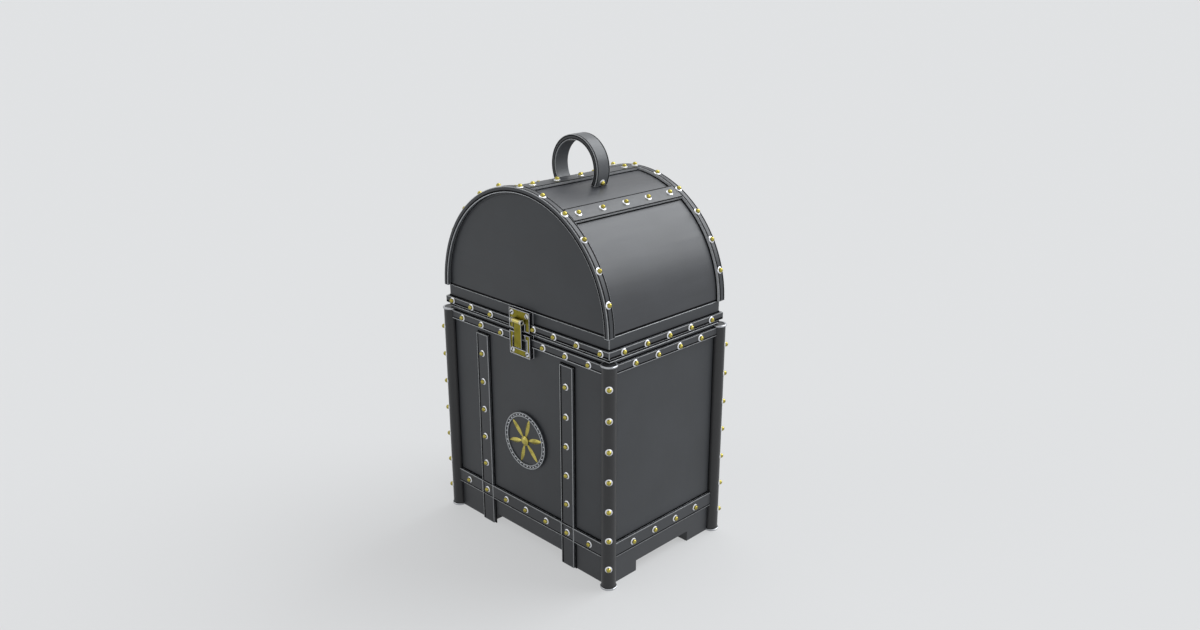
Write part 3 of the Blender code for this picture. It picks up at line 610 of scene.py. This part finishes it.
cast_brass = metal("cast_brass", (0.52, 0.45, 0.12), (0.26, 0.22, 0.05), roughness=0.28, bump=0.2)
boss_radius = 0.0088
boss_edge = 0.0044
shoulder_radius = 0.0076
shoulder = 0.0050
boss_sides = 48
dome_radius = 0.0070
dome_height = 0.0034
dome_foot = 0.0048
boss_top = 0.0083
boss = [(0.0, sunk), (boss_radius, sunk), (boss_radius, boss_edge), (shoulder_radius, shoulder)]
boss += domed(dome_radius, dome_height, dome_foot, (10, 30, 50, 70)) + [(0.0, boss_top)]
mesh = bmesh.new()
turned(mesh, boss, boss_sides, on_front)
leaf_count = 6
leaf_turn = 15.0
leaf_steps = 12
leaf_root = 0.0070
leaf_tip = 0.0446
leaf_half = 0.0046
leaf_ridge = 0.0062
leaf_fullness = 0.8
ridge_fullness = 0.5
weld_reach = 1e-6
for i in range(leaf_count):
    turn = math.radians(360.0 / leaf_count * i + leaf_turn)
    c, s = math.cos(turn), math.sin(turn)
    stations = []
    for k in range(leaf_steps + 1):
        share = k / leaf_steps
        swell = math.sin(math.pi * share) if 0 < k < leaf_steps else 0.0
        r = leaf_root + (leaf_tip - leaf_root) * share
        wide = leaf_half * swell ** leaf_fullness
        lift = ground + (leaf_ridge - ground) * swell ** ridge_fullness
        corners = [(r, -wide, ground), (r, 0.0, lift), (r, wide, ground), (r, 0.0, sunk)]
        points = [on_front(a * c - b * s, a * s + b * c, out) for a, b, out in corners]
        stations.append([mesh.verts.new(point) for point in points])
    for near, far in zip(stations, stations[1:]):
        for j in range(4):
            mesh.faces.new((near[j], near[j - 3], far[j - 3], far[j]))
bmesh.ops.remove_doubles(mesh, verts=mesh.verts[:], dist=weld_reach)
finished("medallion_rosette", mesh, (cast_brass,), "body", "brass", "medallion_rosette")


# Vault of the lid
# Four thin boards bent over the gables, in a paler charcoal paint, their seams under the lengthwise straps.
# The seam that they and the gables make with the walls is payed with pitch.
def turns(start, stop, step):
    count = max(2, math.ceil(abs(stop - start) / step))
    return [start + (stop - start) * i / count for i in range(count + 1)]


def swept(mesh, profile, angles, slots=None):
    """Sweep a profile of radius and Y round the vault's axis, at angles in degrees from +X upwards.

    Gives back the two end faces, and the rows of faces between them.
    """
    rings = []
    for angle in (math.radians(degrees) for degrees in angles):
        c, s = math.cos(angle), math.sin(angle)
        rings.append([mesh.verts.new((r * c, y, spring + r * s)) for r, y in profile])
    strips, rows = range(len(profile)), []
    for low, high in zip(rings, rings[1:]):
        rows.append([mesh.faces.new((low[i - 1], low[i], high[i], high[i - 1])) for i in strips])
        for face, slot in zip(rows[-1], slots or []):
            face.material_index = slot
    return [mesh.faces.new(rings[0]), mesh.faces.new(rings[-1])], rows


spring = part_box("lid_wall_front")[1].z
seam_foot = 0.0004
seam_head = 0.0040
seam_back = -0.0012
seam_face = 0.0001
for side in outward:
    reach = half_length[side]
    outline = rectangle(-reach, reach, spring + seam_foot, spring + seam_head)
    pulled(lid_pitch_shadow, outline, (seam_back, seam_face), on_board(side))
vault_radius = half_width
vault_thickness = 0.008
vault_step = 1.5
vault_colour, vault_grain = (0.034, 0.0365, 0.0415), (120.0, 9.0, 120.0)
vault_paint = painted("charcoal_vault", vault_colour, rubbed_colour, vault_grain,
                      roughness=0.43, bump=0.2, wear=0.0)
profile = rectangle(vault_radius - vault_thickness, vault_radius, front, back)
seams, half_seam = (0.0, 59.0, 90.0, 121.0, 180.0), 0.09
for hand, start, stop in zip(("right", "upper_right", "upper_left", "left"), seams, seams[1:]):
    node = f"vault_board_{hand}"
    mesh = bmesh.new()
    swept(mesh, profile, turns(start + half_seam, stop - half_seam, vault_step))
    finished(node, mesh, (vault_paint,), "lid", "wood", node)


# Hoops and lengthwise straps of the lid
# Two angle-iron hoops are bent over the vault's ends, and three flat straps lie over its seams. All are
# lined in black and riveted through the boards over pitch. A hoop's inner wall is painted paler, as painted
# light against the shade inside the hoop.
# A paler paint, as painted light, for faces that lie in shade
iron_painted_light = painted_iron("charcoal_iron_painted_light", iron_colour, wear=0.11)
hoop_finishes, painted_light_slot = (iron_paint, iron_arris_worn_and_lit, pitch_black, iron_painted_light), 3
hoop_slots = [paint_slot, painted_light_slot, black_slot, paint_slot, black_slot, paint_slot, black_slot, pale_slot,
              paint_slot]
hoop_lap = 0.0045
hoop_out = 0.0073
hoop_in = 0.0075
hoop_lining = 0.0040
hoop_round = 0.0012
hoop_radius, rim_seat = vault_radius + bar_face, vault_radius + bar_seat
face_inside = vault_radius - hoop_lap
pitch_low = vault_radius - bar_seat
pitch_high = vault_radius + pitch_face
pitch_bead = 0.0004
half_turn, hoop_rivet_turn = turns(0.0, 180.0, vault_step), 15


def on_hoop(degrees, y):
    """A spot for a rivet on the outside of a hoop or strap of the lid."""
    turn = math.radians(degrees)
    out = (math.cos(turn), 0.0, math.sin(turn))
    return (hoop_radius * out[0], y, spring + hoop_radius * out[2]), out


for depth, plane, toward in (("front", front, -1), ("back", back, 1)):
    node = f"hoop_{depth}"
    seat, face, rim = plane + toward * bar_seat, plane + toward * hoop_out, plane - toward * hoop_in
    section = [
        (face_inside, seat), (face_inside, face), (face_inside + hoop_lining, face), (hoop_radius, face),
        (hoop_radius, face - toward * hoop_lining), (hoop_radius, rim + toward * hoop_lining),
        (hoop_radius, rim), (rim_seat, rim), (rim_seat, seat),
    ]
    mesh = bmesh.new()
    swept(mesh, section, half_turn, hoop_slots)
    softened(finished(node, mesh, hoop_finishes, "lid", "iron", node), hoop_round)
    swept(lid_pitch_shadow, rectangle(pitch_low, pitch_high, plane, rim - toward * pitch_line), half_turn)
    pitch_foot, pitch_front = plane - toward * bar_seat, plane + toward * pitch_face
    swept(lid_pitch_shadow, rectangle(face_inside - pitch_bead, vault_radius, pitch_foot, pitch_front), half_turn)
    spots = [on_hoop(degrees, (face + rim) / 2) for degrees in range(hoop_rivet_turn, 180, hoop_rivet_turn)]
    rivet_heads(f"hoop_rivets_{depth}", spots, "lid")
black_margin = 0.0022
strap_round = 0.0005
strap_step = 0.7
strap_finishes = (iron_paint, pitch_black, iron_arris_worn_and_lit)
black_arris = 1
pale_end = 2
rim_strip = 2
for hand, degrees in zip(("right", "crown", "left"), seams[1:-1]):
    node = f"lid_strap_{hand}"
    low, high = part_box(node)
    half = math.degrees(math.asin(strap_half / hoop_radius))
    margin = math.degrees(black_margin / hoop_radius)
    between = turns(degrees - half + margin, degrees + half - margin, strap_step)
    mesh = bmesh.new()
    ends, rows = swept(mesh, rectangle(rim_seat, hoop_radius, low.y, high.y),
                       [degrees - half] + between + [degrees + half])
    for row in (rows[0], rows[-1]):
        row[rim_strip].material_index = black_arris
    for face in ends:
        face.material_index = pale_end
    softened(finished(node, mesh, strap_finishes, "lid", "iron", node), strap_round, 2)
    beyond = half + math.degrees(pitch_line / vault_radius)
    swept(lid_pitch_shadow, rectangle(pitch_low, pitch_high, low.y, high.y),
          turns(degrees - beyond, degrees + beyond, strap_step))
    spots = [on_hoop(degrees, middle + along) for along in lid_sides]
    rivet_heads(f"lid_strap_rivets_{hand}", spots, "lid")
finished("pitch_shadow_lid", lid_pitch_shadow, (pitch_black,), "lid", "iron")


# Handle on the crown
# A flat iron strap bent to most of a ring, standing across the crown strap, its feet riveted to the vault.
# It is lined in black along its edges, and its faces are painted paler, as painted light against the
# handle's shade.
def bend(centre, radius, start, stop, step):
    angles = [math.radians(degrees) for degrees in turns(start, stop, step)]
    return [(centre[0] + radius * math.cos(a), centre[1] + radius * math.sin(a)) for a in angles]


handle_lift = 0.0207
handle_outer = 0.055
handle_inner = 0.046
handle_step = 3.0
handle_rise = vault_radius + handle_lift
handle_lining = 0.0034
side_lining = 0.0029
handle_round = 0.0011
rivet_up = 0.0063
feet = [math.degrees(math.asin((handle_rise ** 2 + r ** 2 - rim_seat ** 2) / (2 * handle_rise * r)))
        for r in (handle_outer, handle_inner)]
outline = bend((0.0, handle_rise), handle_outer, -feet[0], 180.0 + feet[0], handle_step)
outline += bend((0.0, handle_rise), handle_inner, 180.0 + feet[1], -feet[1], handle_step)
low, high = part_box("handle")
levels = (low.y, low.y + handle_lining, high.y - handle_lining, high.y)
mesh = bmesh.new()
rows = pulled(mesh, outline, levels, lambda a, b, y: (a, y, spring + b))
# The handle's faces get the paler paint as painted light; the outside's edge rows are lined black
for row, outside in zip(rows, (black_slot, painted_light_slot, black_slot)):
    for face in row:
        point = face.calc_center_median()
        from_centre = math.hypot(point.x, point.z - spring - handle_rise)
        face.material_index = painted_light_slot if from_centre < (handle_outer + handle_inner) / 2 else outside
mesh.normal_update()
sides = [face for face in mesh.faces if len(face.verts) > 4]
inset = bmesh.ops.inset_individual(mesh, faces=sides, thickness=side_lining, use_even_offset=True)
for face in inset["faces"]:
    face.material_index = black_slot
softened(finished("handle", mesh, hoop_finishes, "lid", "iron", "handle"), handle_round)
below = math.radians(feet[0]) - rivet_up / handle_outer
spots = []
for across in (-1, 1):
    out = (across * math.cos(below), 0.0, -math.sin(below))
    spots.append(((handle_outer * out[0], middle, spring + handle_rise + handle_outer * out[2]), out))
rivet_heads("handle_rivets", spots, "lid")


# Hasp latch
# Two iron plates on black packing, held by slotted screws, each with a brass facing behind its filed rim.
# The packing's black also stands in as painted shade under the plates' sides.
# The upper one carries a faced flap on a brass knuckle. It hangs over a keeper in the lower one's window.
plate_brass = metal("plate_brass", (0.25, 0.215, 0.024), (0.17, 0.145, 0.016), roughness=0.34, bump=0.12)
# A brighter copy of the brass, as a painted highlight on knuckle rounds and on facing arrises
brass_highlight_copy = metal("brass_highlight_copy", (0.66, 0.57, 0.20), (0.46, 0.38, 0.10), roughness=0.28, bump=0.1)
bright_steel = metal("bright_steel", (0.72, 0.73, 0.76), (0.50, 0.51, 0.54), roughness=0.34, bump=0.12)
latch_grain = 300.0
latch_iron = matt_black("latch_iron", (0.006, 0.006, 0.007), latch_grain, roughness=0.5, bump=0.1)
# The keeper is near black: painted shade for the recess of the window that it sits in
keeper_iron_painted_shade = matt_black("keeper_iron_painted_shade", (0.010, 0.010, 0.011), latch_grain, 0.5, 0.1, wear=chamfer_mask)
nodes["latch_keeper"].material_slots[0].material = keeper_iron_painted_shade
latch_metals = (latch_iron, bright_steel, brass_highlight_copy)
steel_slot = 1
highlight_brass_slot = 2


def on_latch(out, up, along):
    return (along, front - out, up)


def framed(mesh, half, low, high, foot, face, window=None, slot=0):
    """A plate on the front, with a square window or none; window is its half width, foot and head."""
    columns, rises = [-half, half], [low, high]
    if window:
        columns, rises = [-half, -window[0], window[0], half], [low, window[1], window[2], high]
    grid = [[[mesh.verts.new(on_latch(out, up, along)) for along in columns] for up in rises]
            for out in (foot, face)]
    last = len(columns) - 1
    for layer in grid:
        for i in range(last):
            for j in range(last):
                if not window or (i, j) != (1, 1):
                    ring = (layer[i][j], layer[i][j + 1], layer[i + 1][j + 1], layer[i + 1][j])
                    mesh.faces.new(ring).material_index = slot
    around = [(0, j) for j in range(last)] + [(i, last) for i in range(last)]
    around += [(last, j) for j in range(last, 0, -1)] + [(i, 0) for i in range(last, 0, -1)]
    loops = [(around, slot)]
    if window:
        loops.append(([(1, 1), (1, 2), (2, 2), (2, 1)], 0))
    for loop, finish in loops:
        for (i, j), (k, m) in zip(loop, loop[1:] + loop[:1]):
            wall = (grid[0][i][j], grid[0][k][m], grid[1][k][m], grid[1][i][j])
            mesh.faces.new(wall).material_index = finish


looks_sideways = 0.5


def brass_round(mesh, on_knuckle):
    """Give the round of a knuckle the brighter copy of brass, a painted highlight, and leave its ends as
    they are.
    """
    mesh.normal_update()
    for face in mesh.faces:
        if on_knuckle(face.calc_center_median()) and abs(face.normal.x) < looks_sideways:
            face.material_index = highlight_brass_slot


plate_half = 0.0256
plate_rim = 0.0016
plate_face = 0.0087
rim_face = 0.0100
plate_round = 0.0006
plates = (("lower", "body", 0.3590, 0.3999), ("upper", "lid", 0.4048, 0.4402))
packing_foot = 0.0014
packing_face = 0.0050
packing_inset = 0.0008
facing_lap = 0.0004
window = (0.0178, 0.3709, 0.3900)
liner = 0.0013
liner_proud = 0.0006
guide_half = 0.0152
guide_face = 0.0105
guide_gap = 0.0002
guide_lap = 0.0008
guide_tuck = 0.0006
axis_out = 0.0148
axis_up = 0.4221
barrel = 0.0038
barrel_step = 9.0
knuckle_foot = axis_up - barrel
ear_inner = 0.0092
ear_outer = 0.0114
ear_root = 0.0020
ear_proud = 0.0005
for name, body, low, high in plates:
    node = f"latch_plate_{name}"
    recess = (plate_half - plate_rim, low + plate_rim, high - plate_rim)
    mesh = bmesh.new()
    framed(mesh, plate_half, low, high, bar_seat, packing_foot)
    framed(mesh, plate_half, low, high, packing_face - facing_lap, rim_face, recess)
    hole = None
    if name == "lower":
        hole = (window[0] + liner, window[1] - liner, window[2] + liner)
        framed(mesh, *hole, packing_face, plate_face + liner_proud, window, steel_slot)
        framed(mesh, guide_half, hole[2] + guide_gap, recess[2] + guide_lap, packing_face, guide_face)
    else:
        framed(mesh, guide_half, recess[1] - guide_lap, knuckle_foot + guide_tuck, packing_face, guide_face)
        root = plate_face - ear_root
        ear = [(root, knuckle_foot)] + bend((axis_out, axis_up), barrel, -90.0, 90.0, barrel_step)
        ear += [(root, axis_up + barrel)]
        for start, stop in ((-ear_outer, -ear_inner), (ear_inner, ear_outer)):
            pulled(mesh, ear, (start, stop), on_latch)
        brass_round(mesh, lambda point: point.y < front - guide_face - ear_proud)
    softened(finished(node, mesh, latch_metals, body, "iron", node), plate_round, 2)
    # Black packing under the plate, partly painted shade beside its sides
    mesh = bmesh.new()
    framed(mesh, plate_half - packing_inset, low + packing_inset, high - packing_inset,
           packing_foot - facing_lap, packing_face)
    finished(f"latch_packing_shade_{name}", mesh, (pitch_black,), body, "iron")
    mesh = bmesh.new()
    framed(mesh, recess[0] + facing_lap, recess[1] - facing_lap, recess[2] + facing_lap,
           packing_face - facing_lap, plate_face, hole)
    finished(f"latch_facing_{name}", mesh, (plate_brass,), body, "brass")
pin_radius = 0.0029
pin_half = 0.0113
pin_head = 0.0050
pin_end = 0.0139
pin_ease = 0.0006
head_foot = 0.0122
cup_radius = 0.0024
cup_floor = 0.0132
cup_ease = 0.0004
pin_sides = 32
pin = [
    (0.0, -cup_floor), (cup_radius, -cup_floor), (cup_radius + cup_ease, -pin_end),
    (pin_head - pin_ease, -pin_end), (pin_head, pin_ease - pin_end), (pin_head, -head_foot - cup_ease),
    (pin_radius, -head_foot), (pin_radius, -pin_half),
]
pin_slots = [1] + [0] * 5 + [1] * 3 + [0] * 5 + [1]
mesh = bmesh.new()
turned(mesh, pin + [(radius, -along) for radius, along in reversed(pin)], pin_sides,
       lambda a, b, along: (along, front - axis_out - a, axis_up + b), pin_slots)
finished("hasp_pin", mesh, (bright_steel, latch_iron), "lid", "brass", "hasp_pin")
flap_back = -0.0036
flap_front = -0.0010
flap_drop = 0.0477
flap_half = 0.0089
flap_round = 0.0004
start, stop = math.degrees(math.acos(flap_front / barrel)), math.degrees(math.acos(flap_back / barrel))
outline = bend((0.0, 0.0), barrel, stop, 360.0 + start, barrel_step)
outline += [(flap_front, flap_drop), (flap_back, flap_drop)]
mesh = bmesh.new()
pulled(mesh, [(axis_out + a, axis_up - b) for a, b in outline], (-flap_half, flap_half), on_latch)
brass_round(mesh, lambda point: point.z > knuckle_foot)
softened(finished("hasp_flap", mesh, latch_metals, "hasp", "brass", "hasp_flap"), flap_round, 2)
facing_rim = 0.0005
facing_foot = 0.0012
facing_proud = 0.0005
facing_round = 0.0002
flap_face = axis_out + flap_front
mesh = bmesh.new()
framed(mesh, flap_half - facing_rim, axis_up - flap_drop + facing_foot, knuckle_foot - facing_rim,
       flap_face - facing_lap, flap_face + facing_proud)
softened(finished("hasp_facing", mesh, (plate_brass, brass_highlight_copy), "hasp", "brass"), facing_round, 2)
screw_slot = matt_black("screw_slot", (0.004, 0.004, 0.004), latch_grain, roughness=0.7, bump=0.1)
pan_head = [(0.0, -0.1), (1.0, -0.1), (1.0, 0.18), (0.86, 0.34), (0.52, 0.42), (0.0, 0.44)]
slot_half = 0.22
slot_rim = 0.34
slot_floor = 0.20
screw_sides = 28


def screw_heads(name, spots, toward, radius, body):
    """Slotted pan heads on the front (toward -1) or the back (toward 1).

    Each spot is X, Y, Z and the slot's turn; the sizes of the head and its slot are shares of its radius.
    """
    half, rim = slot_half * radius, slot_rim * radius
    mesh = bmesh.new()
    for x, y, z, turn in spots:
        screw = bmesh.new()
        profile = [(radius * share, radius * height) for share, height in pan_head]
        turned(screw, profile, screw_sides, lambda a, b, c: (a, b, c))
        for edge in (-half, half):
            scored(screw, (0.0, edge, 0.0), (0.0, 1.0, 0.0))
        middles = [(face, face.calc_center_median()) for face in screw.faces]
        cut = [face for face, point in middles if abs(point.y) < half and point.z > rim]
        sunk_part = bmesh.ops.extrude_face_region(screw, geom=cut)["geom"]
        bmesh.ops.delete(screw, geom=[face for face in cut if face.is_valid], context="FACES_ONLY")
        for corner in sunk_part:
            if isinstance(corner, bmesh.types.BMVert):
                corner.co.z = slot_floor * radius
                for face in corner.link_faces:
                    face.material_index = 1
        c, s = math.cos(math.radians(turn)), math.sin(math.radians(turn))
        placed = {}
        for corner in screw.verts:
            a, b, out = corner.co
            placed[corner] = mesh.verts.new((x + a * c - b * s, y + toward * out, z + a * s + b * c))
        for face in screw.faces:
            mesh.faces.new([placed[corner] for corner in face.verts]).material_index = face.material_index
        screw.free()
    return finished(name, mesh, (bright_steel, screw_slot), body, "brass")


screw_line, latch_screw = 0.0184, 0.0046
screw_rows = (("upper", "lid", 0.4328, (35.0, -50.0)), ("lower", "body", 0.3663, (70.0, 25.0)))
for name, body, up, slot_turns in screw_rows:
    spots = [(x, front - plate_face, up, turn) for x, turn in zip((-screw_line, screw_line), slot_turns)]
    screw_heads(f"latch_screws_{name}", spots, -1, latch_screw, body)


# Hinges on the back
# Two iron butt hinges with fixed pins, painted like the bands and rubbed at their edges.
# Each leaf is packed out over a band and held by three slotted screws.
hinge_iron = painted_iron("charcoal_hinges", iron_colour, wear=chamfer_mask)
leaf_face = 0.0081
hinge_screw = 0.0030
screw_inset = 0.0060
screw_apart = 0.0135
for hand in ("left", "right"):
    for part, body in (("body_leaf", "body"), ("lid_leaf", "lid"), ("pin", "body")):
        node = f"hinge_{hand}_{part}"
        nodes[node].material_slots[0].material = hinge_iron
        if part == "pin":
            continue
        low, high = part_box(node)
        up = low.z + screw_inset if part == "body_leaf" else high.z - screw_inset
        spots = [((low.x + high.x) / 2 + k * screw_apart, back + leaf_face, up, turn)
                 for k, turn in ((-1, 20.0), (0, 75.0), (1, -35.0))]
        screw_heads(f"hinge_screws_{hand}_{part}", spots, 1, hinge_screw, body)


# Stage
# A pale paper floor that keeps the trunk's soft shadow, and a pale studio with four broad lamps.
# The camera looks from the front right, a little above the lid.
def seen_plainly(tree):
    """1 for rays from the eye or by way of metal and glass, which see the plain pale backdrop."""
    ray = add(tree, "ShaderNodeLightPath", {}).outputs
    eye_or_metal = combined(tree, "MAXIMUM", ray["Is Camera Ray"], ray["Is Glossy Ray"])
    return combined(tree, "MAXIMUM", eye_or_metal, ray["Is Transmission Ray"])


floor_reach, floor_glow = 60.0, 0.6
floor_mesh = bpy.data.meshes.new("floor")
corners = rectangle(-floor_reach, floor_reach, -floor_reach, floor_reach)
floor_mesh.from_pydata([(x, y, 0.0) for x, y in corners], [], [(0, 1, 2, 3)])
floor = bpy.data.objects.new("floor", floor_mesh)
bpy.context.collection.objects.link(floor)
floor_paper = bpy.data.materials.new("floor_paper")
floor_paper.use_nodes = True
tree = floor_paper.node_tree
paper = add(tree, "ShaderNodeBsdfDiffuse", {"Color": (0.52, 0.525, 0.53, 1.0)}).outputs[0]
glow = add(tree, "ShaderNodeEmission", {"Color": (0.780, 0.788, 0.795, 1.0), "Strength": 1.0}).outputs[0]
share = combined(tree, "MULTIPLY", seen_plainly(tree), floor_glow)
both = add(tree, "ShaderNodeMixShader", {0: share, 1: paper, 2: glow}).outputs[0]
tree.links.new(both, tree.nodes["Material Output"].inputs["Surface"])
floor_mesh.materials.append(floor_paper)
world = bpy.data.worlds.new("studio")
world.use_nodes = True
tree = world.node_tree
background = tree.nodes["Background"].inputs
background["Color"].default_value = (0.98, 0.99, 1.0, 1.0)
brighter_side, plain_level = (0.42, 0.78, 0.40), 0.77
look = add(tree, "ShaderNodeTexCoord", {}).outputs["Generated"]
turned_to = add(tree, "ShaderNodeVectorMath", {0: look, 1: brighter_side}, operation="DOT_PRODUCT")
shaded = spread(tree, turned_to.outputs["Value"], 0.24, 0.80, from_low=-1.0, from_high=1.0)
level = add(tree, "ShaderNodeMix", {0: seen_plainly(tree), 2: shaded, 3: plain_level}).outputs[0]
tree.links.new(level, background["Strength"])
bpy.context.scene.world = world
for name, strength, tint, width, azimuth, height in (
        ("back_light", 2.7, (0.95, 0.975, 1.0), 58.0, 69.0, 40.0),
        ("top_light", 0.7, (0.97, 0.98, 1.0), 50.0, 130.0, 62.0),
        ("right_light", 0.36, (0.98, 0.985, 1.0), 40.0, -20.0, 8.0),
        ("left_light", 0.22, (1.0, 0.99, 0.97), 30.0, 232.0, 28.0)):
    lamp = bpy.data.lights.new(name, "SUN")
    lamp.energy = strength
    lamp.color = tint
    lamp.angle = math.radians(width)
    holder = bpy.data.objects.new(name, lamp)
    holder.rotation_euler = (math.radians(90.0 - height), 0.0, math.radians(azimuth + 90.0))
    bpy.context.collection.objects.link(holder)
camera = bpy.data.cameras.new("camera")
camera.lens = 30.70
camera.sensor_width = 36.0
camera.sensor_fit = "HORIZONTAL"
camera.clip_end = 200.0
looks_down, looks_round = 19.0, 45.02
viewer = bpy.data.objects.new("camera", camera)
viewer.location = (1.2254, middle - 1.1782, 0.9820)
viewer.rotation_euler = (math.radians(90.0 - looks_down), 0.0, math.radians(looks_round))
bpy.context.collection.objects.link(viewer)
bpy.context.scene.camera = viewer
